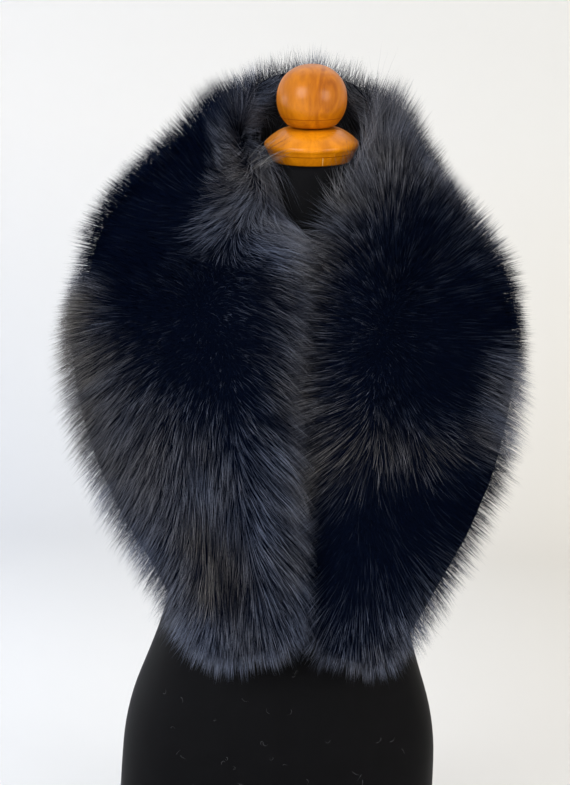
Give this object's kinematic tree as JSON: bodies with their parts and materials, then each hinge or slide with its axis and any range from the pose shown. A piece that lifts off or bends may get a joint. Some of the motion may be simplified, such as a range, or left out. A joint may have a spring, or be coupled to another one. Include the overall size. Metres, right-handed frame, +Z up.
{
  "type": "detachable fur collar on a limbless dress form",
  "caption": "Wide black long-haired fur collar draped over a black jersey dress form with a turned wooden neck cap and knob.",
  "frame": {"origin": "centre of the dress form's flat base, on the surface that it stands on", "axes": "+Z up, -Y towards the wearer's front, +X towards the viewer's right when seen from the front"},
  "size_m": [0.4833, 0.3641, 0.897],
  "materials": {
    "fur": "long glossy black guard hair over dense underfur",
    "jersey": "matt black fine jersey stretched over the form",
    "wood": "amber gloss varnish over turned softwood"
  },
  "bodies": {
    "root": {"dress_form": "jersey", "neck_cap": "wood", "neck_knob": "wood", "fur_left": "fur", "fur_right": "fur"}
  },
  "joints": []
}
